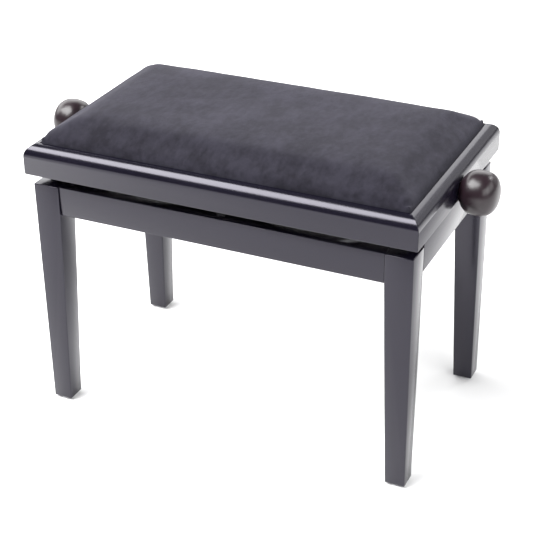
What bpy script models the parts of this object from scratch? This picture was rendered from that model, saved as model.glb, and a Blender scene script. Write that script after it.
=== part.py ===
"""Piano bench whose padded seat is raised by a scissor lift, driven by a spindle with a knob at each end.

Metres, +Z up. The origin is on the floor under the middle of the bench; +X runs along the seat and +Y towards
its back. The seat is at its lowest stop. Each body that moves hangs from an empty on its joint's axis.
"""
import math

import bmesh
import bpy
from mathutils import Matrix, Vector

GAP = 0.0003  # space between pieces that touch
MERGE = 1e-6  # points closer than this are one point
SHARP_ANGLE = math.radians(35)

# Seat frame
SEAT_LENGTH = 0.5600
SEAT_DEPTH = 0.3313
RAIL_BOTTOM = 0.3617
RAIL_TOP = 0.4040
RAIL_WIDTH = 0.0287
RAIL_ROUND = 0.0166  # radius of the rail's outer top edge
RAIL_ROUND_STEPS = 10
RAIL_FOOT_ROUND = 0.0020  # radius of the rail's outer bottom edge
RAIL_FOOT_STEPS = 3
REBATE_FLOOR = 0.3860
CUSHION_INSET = 0.0173  # from the rail's outer face to the cushion
BLOCK_LEG = 0.030  # short side of a triangular corner block
BLOCK_BOTTOM = 0.3651

# Cushion
BOARD_THICKNESS = 0.0120
COVER_THICKNESS = 0.0015
CUSHION_CORNER = 0.0040
# distance in from the cushion's border, and height above the rail's top
CUSHION_SECTION = ((0.0000, 0.0005), (0.0006, 0.0046), (0.0022, 0.0089), (0.0060, 0.0132), (0.0140, 0.0188),
                   (0.0260, 0.0261), (0.0370, 0.0301), (0.0600, 0.0318), (0.1200, 0.0325))

# Base
BASE_LENGTH = 0.5453
BASE_DEPTH = 0.3148
LEG_TOP = 0.3466
LEG_WIDTH = 0.0380
LEG_FOOT_WIDTH = 0.0280
LEG_EDGE = 0.0012
LEG_BOTTOM = 0.0030
GLIDE_RADIUS = 0.0120
APRON_RECESS = 0.0020  # of the long aprons behind the legs' outer faces
APRON_BACK = 0.0210  # from the legs' outer faces to the aprons' inner faces
LONG_APRON_BOTTOM = 0.3046
SIDE_APRON_BOTTOM = 0.3114
SIDE_APRON_TOP = 0.3592
APRON_EDGE = 0.0008
BUFFER_RADIUS = 0.0070
BUFFER_Y = 0.0900

# Corner brackets of the base
BRACKET_BOTTOM = 0.3090
BRACKET_TOP = 0.3410
BRACKET_Z = (BRACKET_BOTTOM + BRACKET_TOP) / 2
BRACKET_THICKNESS = 0.0025
BRACKET_FLANGE = 0.0230
BRACKET_LEG_SPACE = 0.0092  # from the leg's inner corner to the middle of the bracket's web
BOLT_DEPTH = 0.0140  # of the corner bolt in the leg

# Scissor lift
PIVOT_X = -0.1700  # fixed ends of the arms
SLIDE_X = 0.1700  # sliding ends of the arms
LOWER_Z = 0.3220
SPINDLE_Z = 0.3737  # height of the spindle and of the upper ends of the arms
LIFT = 0.1000
ARM_HEIGHT = 0.0200
ARM_LENGTH = math.hypot(SLIDE_X - PIVOT_X, SPINDLE_Z - LOWER_Z)
ARM_TILT = math.asin((SPINDLE_Z - LOWER_Z) / ARM_LENGTH)
TOP_TILT = math.asin((SPINDLE_Z - LOWER_Z + LIFT) / ARM_LENGTH)
SLIDE_TRAVEL = SLIDE_X - PIVOT_X - ARM_LENGTH * math.cos(TOP_TILT)
ARM_SLACK = 0.0040  # play along the lower arm for the crossbar
SIDE_SLACK = 0.0012  # play across the arms at the open pivots

# Layers of the lift, as distances from the middle plane of the bench
UPPER_ARM_Y = (0.1260, 0.1290)
LOWER_ARM_Y = (0.1295, 0.1325)
LOWER_RAIL_Y = (0.1331, 0.1361)
UPPER_RAIL_Y = (0.1337, 0.1367)
RIVET_Y = 0.1232  # inner face of the rivets' heads
RIVET_OUT_Y = 0.1358  # outer face of the centre rivets

# Steel rails that carry the arms
RAIL_HALF = 0.1990
LOWER_RAIL_Z = (0.3060, 0.3360)
UPPER_RAIL_Z = (0.3632, 0.3842)
LOWER_SCREWS = ((-0.1910, 0.3220), (0.0000, 0.3140), (0.1910, 0.3220))
UPPER_SCREWS = ((-0.1910, 0.3737), (0.0000, 0.3737), (0.1910, 0.3737))

# Rods, spindle and fasteners
ROD_RADIUS = 0.0050
PIN_RADIUS = 0.0040
HOLE_PLAY = 0.0003  # that a hole's radius is over its pin's
CROSSBAR_RADIUS = 0.0100
CROSSBAR_HALF = 0.1240
SPINDLE_RADIUS = 0.0060
SPINDLE_END = 0.3150
BUSH_RADIUS = 0.0085
BUSH_FLANGE_RADIUS = 0.0105
BUSH_FLANGE = 0.0020
COLLAR_LENGTH = 0.0100
COLLAR_X = 0.2430
RIVET_RADIUS = 0.0065
SHOULDER_RADIUS = 0.0064  # of the upper pivots, between the arm and the rail
SCREW_RADIUS = 0.0020
SCREW_DEPTH = 0.0120  # of the pilot holes in wood
BOLT_RADIUS = 0.0030
HEX_RADIUS = 0.0066
HEX_HEIGHT = 0.0045
ROUND_SIDES = 16
SMALL_SIDES = 12

# Knobs
KNOB_START = 0.2806
KNOB_NECK_RADIUS = 0.0170
KNOB_MIDDLE = 0.3030
KNOB_HALF_LENGTH = 0.0270
KNOB_RADIUS = 0.0300
KNOB_BORE_END = 0.3180
KNOB_SIDES = 32
KNOB_STEPS = 12
KNOB_PIN_RADIUS = 0.0018
KNOB_PIN_X = 0.3000
KNOB_PIN_START = 0.0230  # depth of the pin's lower end below the spindle's axis
KNOB_PIN_TOP = 0.0090

HALF_LENGTH = SEAT_LENGTH / 2
HALF_DEPTH = SEAT_DEPTH / 2
BASE_X = BASE_LENGTH / 2
BASE_Y = BASE_DEPTH / 2
RAIL_INNER_X = HALF_LENGTH - RAIL_WIDTH
RAIL_INNER_Y = HALF_DEPTH - RAIL_WIDTH
INWARD = Vector((-1, -1, 0)).normalized()  # from the base's back right corner to its middle
LEG_INNER_CORNER = Vector((-LEG_WIDTH, -LEG_WIDTH, BRACKET_Z))

# Colour, metallic and roughness of each finish
FINISHES = {
    "black_lacquer": ((0.030, 0.028, 0.033), 0.0, 0.35),
    "knob_lacquer": ((0.022, 0.013, 0.016), 0.0, 0.18),
    "velvet": ((0.085, 0.082, 0.105), 0.0, 0.95),
    "foam": ((0.780, 0.720, 0.520), 0.0, 0.95),
    "painted_plywood": ((0.030, 0.028, 0.028), 0.0, 0.75),
    "stained_beech": ((0.045, 0.032, 0.027), 0.0, 0.55),
    "black_steel": ((0.020, 0.020, 0.021), 0.0, 0.48),
    "bright_steel": ((0.620, 0.620, 0.630), 1.0, 0.22),
    "nylon": ((0.700, 0.690, 0.650), 0.0, 0.45),
    "rubber": ((0.020, 0.020, 0.020), 0.0, 0.80),
    "glide_plastic": ((0.550, 0.550, 0.560), 0.0, 0.50),
}

# Where each body's empty stands, and its turn about +Y
BODIES = {
    "base": ((0, 0, 0), 0.0),
    "seat": ((0, 0, 0), 0.0),
    "spindle": ((0, 0, SPINDLE_Z), 0.0),
    "drive_nut": ((SLIDE_X, 0, SPINDLE_Z), 0.0),
    "lower_arms": ((PIVOT_X, 0, LOWER_Z), -ARM_TILT),
    "upper_arms": ((PIVOT_X, 0, SPINDLE_Z), ARM_TILT),
}

# Corners of the bench: name, sign of x, sign of y, and turn about +Z from the back right corner
CORNERS = (("back_right", 1, 1, 0), ("back_left", -1, 1, 90), ("front_left", -1, -1, 180),
           ("front_right", 1, -1, 270))
# The two sides and ends of the bench: name, sign, and turn about +Z
SIDES = (("back", 1, 0), ("front", -1, 180))
ENDS = (("right", 1, 0), ("left", -1, 180))


# ---- Scene, bodies and materials ----

def clear_scene():
    """Remove whatever the scene holds."""
    for thing in list(bpy.data.objects):
        bpy.data.objects.remove(thing, do_unlink=True)


def make_body_empties():
    """Make one empty for each body, on its joint's axis."""
    empties = {}
    for name, (place, turn) in BODIES.items():
        empty = bpy.data.objects.new(name + "_axis", None)
        empty.empty_display_size = 0.03
        empty.location = place
        empty.rotation_euler = (0, turn, 0)
        bpy.context.collection.objects.link(empty)
        empties[name] = empty
    return empties


def make_material(name, finish):
    """A Principled material of the named finish."""
    colour, metallic, roughness = FINISHES[finish]
    material = bpy.data.materials.new(name)
    material.use_nodes = True
    shader = material.node_tree.nodes["Principled BSDF"]
    shader.inputs["Base Color"].default_value = (*colour, 1.0)
    shader.inputs["Metallic"].default_value = metallic
    shader.inputs["Roughness"].default_value = roughness
    material.diffuse_color = (*colour, 1.0)
    return material


def mesh_from(bm, name):
    """Turn a bmesh into a mesh whose faces point outwards."""
    bmesh.ops.remove_doubles(bm, verts=bm.verts, dist=MERGE)
    bmesh.ops.recalc_face_normals(bm, faces=bm.faces)
    mesh = bpy.data.meshes.new(name)
    bm.to_mesh(mesh)
    bm.free()
    return mesh


def cut(mesh, cutter_bm, name):
    """Return the mesh with the cutter's solids taken out of it."""
    part = bpy.data.objects.new(name, mesh)
    cutter = bpy.data.objects.new(name + "_cutter", mesh_from(cutter_bm, name + "_cutter"))
    for thing in (part, cutter):
        bpy.context.collection.objects.link(thing)
    hole = part.modifiers.new("holes", "BOOLEAN")
    hole.operation = "DIFFERENCE"
    hole.solver = "EXACT"
    hole.object = cutter
    graph = bpy.context.evaluated_depsgraph_get()
    result = bpy.data.meshes.new_from_object(part.evaluated_get(graph))
    for thing in (part, cutter):
        bpy.data.objects.remove(thing, do_unlink=True)
    return result


def add_node(name, bm, finish, body, cutter=None, at=(0, 0, 0), turn=0):
    """Add one sub-part: its shape is in its body's axes, moved to at and turned about +Z by turn degrees."""
    mesh = mesh_from(bm, name)
    if cutter:
        mesh = cut(mesh, cutter, name)
    mesh.materials.clear()
    mesh.materials.append(make_material(name, finish))
    mesh.shade_smooth()
    mesh.set_sharp_from_angle(angle=SHARP_ANGLE)
    part = bpy.data.objects.new(name, mesh)
    part.parent = EMPTIES[body]
    part.location = at
    part.rotation_euler = (0, 0, math.radians(turn))
    bpy.context.collection.objects.link(part)
    return part


# ---- Shapes ----

def loft(bm, rings, looped=False):
    """Join rings of points, each with the same count, into one solid; a looped one comes back to its start."""
    loops = [[bm.verts.new(point) for point in ring] for ring in rings]
    following = loops[1:] + loops[:1] if looped else loops[1:]
    for lower, upper in zip(loops, following):
        for i, corner in enumerate(lower):
            j = (i + 1) % len(lower)
            bm.faces.new((corner, lower[j], upper[j], upper[i]))
    if not looped:
        bm.faces.new(loops[0])
        bm.faces.new(loops[-1])


def box(bm, low, high):
    """Add a box between two corners."""
    middle = (Vector(low) + Vector(high)) / 2
    size = Vector(high) - Vector(low)
    bmesh.ops.create_cube(bm, size=1, matrix=Matrix.Translation(middle) @ Matrix.Diagonal((*size, 1)))


def soften(bm, width, segments=2):
    """Round every edge of the solid."""
    bmesh.ops.bevel(bm, geom=bm.edges[:], offset=width, segments=segments, profile=0.5, affect="EDGES")


def hexagon_reach(radius, angle):
    """Reach of a hexagonal outline at an angle, from the radius of its corners."""
    sixth = math.pi / 3
    return radius * math.cos(sixth / 2) / math.cos(angle % sixth - sixth / 2)


def turned(bm, profile, start, direction, sides=ROUND_SIDES, looped=False, hex_rows=0):
    """Add a turned solid. The profile is (radius, distance from start) rows; the first hex_rows are hexagonal."""
    axes = Vector(direction).to_track_quat("Z", "Y").to_matrix()
    rings = []
    for row, (radius, distance) in enumerate(profile):
        ring = []
        for i in range(sides):
            angle = math.tau * i / sides
            reach = hexagon_reach(radius, angle) if row < hex_rows else radius
            point = Vector((reach * math.cos(angle), reach * math.sin(angle), distance))
            ring.append(Vector(start) + axes @ point)
        rings.append(ring)
    loft(bm, rings, looped)


def rod(bm, radius, start, end, sides=ROUND_SIDES):
    """Add a plain round rod between two points."""
    span = Vector(end) - Vector(start)
    turned(bm, ((radius, 0), (radius, span.length)), start, span, sides)


def slab(bm, outline, depths):
    """Extrude an (x, z) outline between two depths along Y."""
    loft(bm, [[(x, y, z) for x, z in outline] for y in depths])


def oval(start_x, end_x, z, radius, steps=8):
    """Outline of a bar or slot with round ends, as (x, z) points."""
    points = []
    for middle, first in ((end_x, -90), (start_x, 90)):
        for i in range(steps + 1):
            angle = math.radians(first + 180 * i / steps)
            points.append((middle + radius * math.cos(angle), z + radius * math.sin(angle)))
    return points


def rounded_rectangle(half_x, half_y, radius, z, steps=4):
    """A level ring of points round a rectangle with round corners."""
    ring = []
    for quarter, (sign_x, sign_y) in enumerate(((1, 1), (-1, 1), (-1, -1), (1, -1))):
        middle = Vector((sign_x * (half_x - radius), sign_y * (half_y - radius), z))
        for i in range(steps + 1):
            angle = math.pi / 2 * (quarter + i / steps)
            ring.append(middle + Vector((radius * math.cos(angle), radius * math.sin(angle), 0)))
    return ring


def mirror_across(bm, sign):
    """Mirror a shape to the front of the bench when the sign is -1."""
    bmesh.ops.scale(bm, verts=bm.verts, vec=(1, sign, 1))


def screw_hole(bm, start, direction, depth=SCREW_DEPTH):
    """Add the cutter of a screw's hole, from well in front of the face at start to depth behind it."""
    way = Vector(direction).normalized()
    middle = Vector(start)
    rod(bm, SCREW_RADIUS + HOLE_PLAY, middle - way * depth, middle + way * depth, SMALL_SIDES)


# ---- Base ----

def corner_place(sign_x, sign_y):
    """Outer corner of the base, where the parts of one corner have their origin."""
    return (sign_x * BASE_X, sign_y * BASE_Y, 0)


def leg_ring(width, z):
    """Square section of a leg, from its outer corner at the origin."""
    return [(0, 0, z), (-width, 0, z), (-width, -width, z), (0, -width, z)]


def make_legs():
    """Square legs, upright outside and tapered on their two inner faces below the aprons."""
    for corner, sign_x, sign_y, turn in CORNERS:
        bm = bmesh.new()
        loft(bm, [leg_ring(LEG_FOOT_WIDTH, LEG_BOTTOM), leg_ring(LEG_WIDTH, LONG_APRON_BOTTOM),
                  leg_ring(LEG_WIDTH, LEG_TOP)])
        soften(bm, LEG_EDGE)
        cutter = bmesh.new()
        reach = INWARD * (BOLT_DEPTH + GAP)
        rod(cutter, BOLT_RADIUS + HOLE_PLAY, LEG_INNER_CORNER - reach, LEG_INNER_CORNER + reach,
            SMALL_SIDES)
        add_node("leg_" + corner, bm, "black_lacquer", "base", cutter, corner_place(sign_x, sign_y), turn)


def make_foot_glides():
    """A round glide under each foot."""
    middle = LEG_FOOT_WIDTH / 2
    edge = LEG_EDGE / 2
    profile = ((GLIDE_RADIUS - edge, 0), (GLIDE_RADIUS, edge), (GLIDE_RADIUS, LEG_BOTTOM - GAP))
    for corner, sign_x, sign_y, turn in CORNERS:
        bm = bmesh.new()
        turned(bm, profile, (-middle, -middle, 0), (0, 0, 1))
        place = corner_place(sign_x, sign_y)
        add_node("foot_glide_" + corner, bm, "glide_plastic", "base", at=place, turn=turn)


def make_long_aprons():
    """Front and back boards between the legs, set back a little from their outer faces."""
    half = BASE_X - LEG_WIDTH - GAP
    inner_y = BASE_Y - APRON_BACK
    flange_screw = bracket_screw()
    for side, _, turn in SIDES:
        bm = bmesh.new()
        box(bm, (-half, inner_y, LONG_APRON_BOTTOM), (half, BASE_Y - APRON_RECESS, LEG_TOP))
        soften(bm, APRON_EDGE)
        cutter = bmesh.new()
        for x, z in LOWER_SCREWS:
            screw_hole(cutter, (x, inner_y, z), (0, 1, 0))
        for sign in (-1, 1):
            screw_hole(cutter, (sign * (BASE_X + flange_screw.x), inner_y, BRACKET_Z), (0, 1, 0))
        add_node(side + "_apron", bm, "black_lacquer", "base", cutter, turn=turn)


def make_side_aprons():
    """Boards between the legs at both ends; they stand taller, up to just under the seat."""
    half = BASE_Y - LEG_WIDTH - GAP
    inner_x = BASE_X - APRON_BACK
    flange_screw = bracket_screw()
    for end, _, turn in ENDS:
        bm = bmesh.new()
        box(bm, (inner_x, -half, SIDE_APRON_BOTTOM), (BASE_X, half, SIDE_APRON_TOP))
        soften(bm, APRON_EDGE)
        cutter = bmesh.new()
        for sign in (-1, 1):
            screw_hole(cutter, (inner_x, sign * (BASE_Y + flange_screw.x), BRACKET_Z), (1, 0, 0))
        add_node("side_apron_" + end, bm, "black_lacquer", "base", cutter, turn=turn)


def make_rest_buffers():
    """Rubber discs on the side aprons, which the lowered seat rests on."""
    x = BASE_X - APRON_BACK / 2
    for corner, sign_x, sign_y, _ in CORNERS:
        bm = bmesh.new()
        rod(bm, BUFFER_RADIUS, (0, 0, SIDE_APRON_TOP + GAP), (0, 0, RAIL_BOTTOM - GAP))
        add_node("rest_buffer_" + corner, bm, "rubber", "base", at=(sign_x * x, sign_y * BUFFER_Y, 0))


def bracket_line():
    """Plan of a bracket from the base's outer corner: the middle line of its flange, web and flange."""
    flange = -(APRON_BACK + GAP + BRACKET_THICKNESS / 2)
    web = -2 * LEG_WIDTH - BRACKET_LEG_SPACE * math.sqrt(2) - flange
    return [Vector((web + BRACKET_FLANGE, flange)), Vector((web, flange)), Vector((flange, web)),
            Vector((flange, web + BRACKET_FLANGE))]


def bracket_screw():
    """Middle of the bracket's flange on the long apron; its other flange mirrors it in the diagonal."""
    outer, inner = bracket_line()[:2]
    return (outer + inner) / 2


def strip_outline(line, thickness):
    """Closed plan outline of a bent strip, from its middle line."""
    left = []
    right = []
    ways = [(end - start).normalized() for start, end in zip(line, line[1:])]
    for point, before, after in zip(line, ways[:1] + ways, ways + ways[-1:]):
        way = (before + after).normalized()
        offset = Vector((-way.y, way.x)) * (thickness / 2 / way.dot(before))
        left.append(point + offset)
        right.append(point - offset)
    return left + right[::-1]


def make_corner_brackets():
    """Bent steel brackets that pull each leg into its corner, each with its hexagon bolt."""
    plan = strip_outline(bracket_line(), BRACKET_THICKNESS)
    hole = bracket_screw()
    bolt_start = BRACKET_LEG_SPACE + BRACKET_THICKNESS / 2 + GAP + HEX_HEIGHT
    bolt_end = bolt_start + BOLT_DEPTH
    bolt = ((HEX_RADIUS, 0), (HEX_RADIUS, HEX_HEIGHT), (BOLT_RADIUS, HEX_HEIGHT), (BOLT_RADIUS, bolt_end))
    for corner, sign_x, sign_y, turn in CORNERS:
        place = corner_place(sign_x, sign_y)
        bm = bmesh.new()
        loft(bm, [[(point.x, point.y, z) for point in plan] for z in (BRACKET_BOTTOM, BRACKET_TOP)])
        cutter = bmesh.new()
        rod(cutter, BOLT_RADIUS + HOLE_PLAY, LEG_INNER_CORNER, LEG_INNER_CORNER + INWARD * bolt_start,
            SMALL_SIDES)
        screw_hole(cutter, (hole.x, hole.y, BRACKET_Z), (0, 1, 0))
        screw_hole(cutter, (hole.y, hole.x, BRACKET_Z), (1, 0, 0))
        add_node("corner_bracket_" + corner, bm, "black_steel", "base", cutter, place, turn)

        bm = bmesh.new()
        turned(bm, bolt, LEG_INNER_CORNER + INWARD * bolt_start, -INWARD, SMALL_SIDES, hex_rows=2)
        add_node("corner_bolt_" + corner, bm, "bright_steel", "base", at=place, turn=turn)


# ---- Seat ----

def rail_profile():
    """Section of a seat rail as (distance in from the outer face, height)."""
    points = []
    for i in range(RAIL_FOOT_STEPS + 1):
        angle = math.pi / 2 * i / RAIL_FOOT_STEPS
        height = RAIL_BOTTOM + RAIL_FOOT_ROUND * (1 - math.cos(angle))
        points.append((RAIL_FOOT_ROUND * (1 - math.sin(angle)), height))
    for i in range(RAIL_ROUND_STEPS + 1):
        angle = math.pi / 2 * i / RAIL_ROUND_STEPS
        height = RAIL_TOP - RAIL_ROUND * (1 - math.sin(angle))
        points.append((RAIL_ROUND * (1 - math.cos(angle)), height))
    points += [(CUSHION_INSET, RAIL_TOP), (CUSHION_INSET, REBATE_FLOOR), (RAIL_WIDTH, REBATE_FLOOR),
               (RAIL_WIDTH, RAIL_BOTTOM)]
    return points


def rail_shape(half_length, half_width):
    """A moulded rail with mitred ends, on the +Y side."""
    bm = bmesh.new()
    joint = GAP / math.sqrt(2)
    rings = []
    for sign in (-1, 1):
        end = half_length - joint
        rings.append([(sign * (end - depth), half_width - depth, z) for depth, z in rail_profile()])
    loft(bm, rings)
    return bm


def make_long_seat_rails():
    """Front and back rails of the seat frame."""
    for side, _, turn in SIDES:
        cutter = bmesh.new()
        for x, z in UPPER_SCREWS:
            screw_hole(cutter, (x, RAIL_INNER_Y, z), (0, 1, 0))
        bm = rail_shape(HALF_LENGTH, HALF_DEPTH)
        add_node("seat_rail_" + side, bm, "black_lacquer", "seat", cutter, turn=turn)


def make_side_seat_rails():
    """Left and right rails of the seat frame, bored for the spindle's bushes."""
    for end, _, turn in ENDS:
        cutter = bmesh.new()
        rod(cutter, BUSH_RADIUS + HOLE_PLAY, (0, RAIL_INNER_X - RAIL_WIDTH, SPINDLE_Z),
            (0, HALF_LENGTH + RAIL_WIDTH, SPINDLE_Z))
        bm = rail_shape(HALF_DEPTH, HALF_LENGTH)
        add_node("seat_rail_" + end, bm, "black_lacquer", "seat", cutter, turn=turn - 90)


def make_corner_blocks():
    """Glued blocks in the seat frame's corners, drilled for the screws that hold the board."""
    edge = -(RAIL_WIDTH + GAP)
    third = edge - BLOCK_LEG / 3
    plan = [(edge, edge), (edge - BLOCK_LEG, edge), (edge, edge - BLOCK_LEG)]
    for corner, sign_x, sign_y, turn in CORNERS:
        bm = bmesh.new()
        loft(bm, [[(x, y, z) for x, y in plan] for z in (BLOCK_BOTTOM, REBATE_FLOOR - GAP)])
        cutter = bmesh.new()
        screw_hole(cutter, (third, third, BLOCK_BOTTOM), (0, 0, 1), BLOCK_LEG)
        add_node("corner_block_" + corner, bm, "stained_beech", "seat", cutter,
                 (sign_x * HALF_LENGTH, sign_y * HALF_DEPTH, 0), turn)


def make_seat_board():
    """Board under the pad, lying in the rails' rebate, with a pilot hole over each corner block."""
    inset = CUSHION_INSET + COVER_THICKNESS + 2 * GAP
    x = HALF_LENGTH - inset
    y = HALF_DEPTH - inset
    corner = CUSHION_CORNER - COVER_THICKNESS - GAP
    bottom = REBATE_FLOOR + GAP
    bm = bmesh.new()
    loft(bm, [rounded_rectangle(x, y, corner, z) for z in (bottom, bottom + BOARD_THICKNESS)])
    cutter = bmesh.new()
    block_middle = RAIL_WIDTH + GAP + BLOCK_LEG / 3
    for _, sign_x, sign_y, _ in CORNERS:
        place = (sign_x * (HALF_LENGTH - block_middle), sign_y * (HALF_DEPTH - block_middle), bottom)
        screw_hole(cutter, place, (0, 0, 1), BOARD_THICKNESS * 2 / 3)
    add_node("seat_board", bm, "painted_plywood", "seat", cutter)


def cushion_rings(inset, bottom):
    """Level rings up the cushion's side and over its crown, drawn in and lowered by inset."""
    rows = [(0, bottom)] + [(distance, RAIL_TOP + height - inset) for distance, height in CUSHION_SECTION]
    rings = []
    for distance, z in rows:
        in_all = CUSHION_INSET + GAP + inset + distance
        corner = CUSHION_CORNER - inset + distance / 4
        rings.append(rounded_rectangle(HALF_LENGTH - in_all, HALF_DEPTH - in_all, corner, z))
    return rings


def make_cushion():
    """Velvet cover, open underneath, over a foam pad that lies on the board."""
    cover = bmesh.new()
    rim = REBATE_FLOOR + 2 * GAP
    loft(cover, cushion_rings(COVER_THICKNESS, rim)[::-1] + cushion_rings(0, rim))
    add_node("velvet_cover", cover, "velvet", "seat")

    foam = bmesh.new()
    loft(foam, cushion_rings(COVER_THICKNESS + GAP, REBATE_FLOOR + BOARD_THICKNESS + 2 * GAP))
    add_node("seat_foam", foam, "foam", "seat")


# ---- Steel rails and scissor arms ----

def make_steel_rails():
    """Slotted steel rails: one pair screwed to the long aprons, one pair to the long seat rails."""
    slot = (SLIDE_X - SLIDE_TRAVEL - HOLE_PLAY, SLIDE_X + HOLE_PLAY)
    hole = PIN_RADIUS + HOLE_PLAY
    kinds = (
        ("lower", "base", LOWER_RAIL_Y, LOWER_RAIL_Z, LOWER_SCREWS, LOWER_Z, SIDE_SLACK),
        ("upper", "seat", UPPER_RAIL_Y, UPPER_RAIL_Z, UPPER_SCREWS, SPINDLE_Z, 0),
    )
    for kind, body, depths, heights, places, z, slack in kinds:
        for side, sign, _ in SIDES:
            bm = bmesh.new()
            box(bm, (-RAIL_HALF, depths[0], heights[0]), (RAIL_HALF, depths[1], heights[1]))
            cutter = bmesh.new()
            through = (depths[0] - GAP, depths[1] + GAP)
            slab(cutter, oval(*slot, z - slack / 2, hole + HOLE_PLAY + slack / 2), through)
            rod(cutter, hole, (PIVOT_X, through[0], z), (PIVOT_X, through[1], z))
            for x, screw_z in places:
                screw_hole(cutter, (x, depths[0], screw_z), (0, 1, 0))
            mirror_across(bm, sign)
            mirror_across(cutter, sign)
            add_node(kind + "_rail_" + side, bm, "black_steel", body, cutter)


def make_arms():
    """Flat steel arms, in their own axes: +X runs from the fixed pivot to the sliding end."""
    hole = PIN_RADIUS + HOLE_PLAY
    middle = ARM_LENGTH / 2
    for side, sign, _ in SIDES:
        for kind, depths in (("lower", LOWER_ARM_Y), ("upper", UPPER_ARM_Y)):
            bm = bmesh.new()
            slab(bm, oval(0, ARM_LENGTH, 0, ARM_HEIGHT / 2), depths)
            near = depths[0] - GAP
            far = depths[1] + GAP
            cutter = bmesh.new()
            rod(cutter, hole, (0, near, 0), (0, far, 0))
            if kind == "lower":
                rod(cutter, hole, (middle, near, 0), (middle, far, 0))
                slot = oval(ARM_LENGTH - ARM_SLACK - HOLE_PLAY, ARM_LENGTH + HOLE_PLAY, 0, hole + HOLE_PLAY)
                slab(cutter, slot, (near, far))
            else:
                rod(cutter, hole + HOLE_PLAY + SIDE_SLACK, (middle, near, 0), (middle, far, 0))
                rod(cutter, hole, (ARM_LENGTH, near, 0), (ARM_LENGTH, far, 0))
            mirror_across(bm, sign)
            mirror_across(cutter, sign)
            add_node(kind + "_arm_" + side, bm, "black_steel", kind + "_arms", cutter)


def make_rivets():
    """Rivets through the crossing of the arms, and shouldered ones that hang the upper arms on the seat."""
    inner_head = UPPER_ARM_Y[0] - GAP
    outer_head = LOWER_ARM_Y[1] + GAP
    shoulder = (UPPER_ARM_Y[1] + GAP, UPPER_RAIL_Y[0] - GAP)
    centre = ((RIVET_RADIUS, RIVET_Y), (RIVET_RADIUS, inner_head), (PIN_RADIUS, inner_head),
              (PIN_RADIUS, outer_head), (RIVET_RADIUS, outer_head), (RIVET_RADIUS, RIVET_OUT_Y))
    upper = ((RIVET_RADIUS, RIVET_Y), (RIVET_RADIUS, inner_head), (PIN_RADIUS, inner_head),
             (PIN_RADIUS, shoulder[0]), (SHOULDER_RADIUS, shoulder[0]), (SHOULDER_RADIUS, shoulder[1]),
             (PIN_RADIUS, shoulder[1]), (PIN_RADIUS, UPPER_RAIL_Y[1] - GAP))
    kinds = (("centre_rivet_", centre, "lower_arms", (ARM_LENGTH / 2, 0, 0)),
             ("upper_pivot_", upper, "seat", (PIVOT_X, 0, SPINDLE_Z)))
    for name, profile, body, place in kinds:
        for side, _, turn in SIDES:
            bm = bmesh.new()
            turned(bm, profile, (0, 0, 0), (0, 1, 0))
            add_node(name + side, bm, "bright_steel", body, at=place, turn=turn)


def stepped_rod(bm, middle_radius, middle_half, end_half):
    """Add a rod along Y with thinner ends."""
    profile = ((PIN_RADIUS, -end_half), (PIN_RADIUS, -middle_half), (middle_radius, -middle_half),
               (middle_radius, middle_half), (PIN_RADIUS, middle_half), (PIN_RADIUS, end_half))
    turned(bm, profile, (0, 0, 0), (0, 1, 0))


def make_cross_rods():
    """Rods that join the front and back arms at the bottom: one fixed, one that slides in the slots."""
    end = LOWER_RAIL_Y[1] - GAP
    pivot = bmesh.new()
    stepped_rod(pivot, ROD_RADIUS, UPPER_ARM_Y[1], end)
    add_node("lower_pivot_rod", pivot, "bright_steel", "base", at=(PIVOT_X, 0, LOWER_Z))

    slide = bmesh.new()
    stepped_rod(slide, ROD_RADIUS, UPPER_ARM_Y[0] - GAP, end)
    add_node("lower_slide_rod", slide, "bright_steel", "upper_arms", at=(ARM_LENGTH, 0, 0))


# ---- Spindle, crossbar and knobs ----

def make_drive_crossbar():
    """Round crossbar, threaded on the spindle, whose end pins pull the lower arms along the upper slots."""
    bm = bmesh.new()
    stepped_rod(bm, CROSSBAR_RADIUS, CROSSBAR_HALF, UPPER_RAIL_Y[1] - GAP)
    cutter = bmesh.new()
    reach = 2 * CROSSBAR_RADIUS
    rod(cutter, SPINDLE_RADIUS + HOLE_PLAY, (-reach, 0, 0), (reach, 0, 0))
    add_node("drive_crossbar", bm, "bright_steel", "drive_nut", cutter)


def make_spindle():
    """Threaded rod from knob to knob, with two collars that keep it in place between the side rails."""
    edge = SPINDLE_RADIUS / 6
    bm = bmesh.new()
    profile = ((SPINDLE_RADIUS - edge, -SPINDLE_END), (SPINDLE_RADIUS, edge - SPINDLE_END),
               (SPINDLE_RADIUS, SPINDLE_END - edge), (SPINDLE_RADIUS - edge, SPINDLE_END))
    turned(bm, profile, (0, 0, 0), (1, 0, 0))
    cutter = bmesh.new()
    for x in (-KNOB_PIN_X, KNOB_PIN_X):
        rod(cutter, KNOB_PIN_RADIUS + HOLE_PLAY, (x, 0, -KNOB_RADIUS), (x, 0, KNOB_RADIUS), SMALL_SIDES)
    add_node("spindle", bm, "bright_steel", "spindle", cutter)

    inner = SPINDLE_RADIUS + HOLE_PLAY
    half = COLLAR_LENGTH / 2
    ring = ((inner, -half), (BUSH_FLANGE_RADIUS, -half), (BUSH_FLANGE_RADIUS, half), (inner, half))
    for end, sign, _ in ENDS:
        bm = bmesh.new()
        turned(bm, ring, (0, 0, 0), (1, 0, 0), looped=True)
        add_node("shaft_collar_" + end, bm, "bright_steel", "spindle", at=(sign * COLLAR_X, 0, 0))


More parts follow.
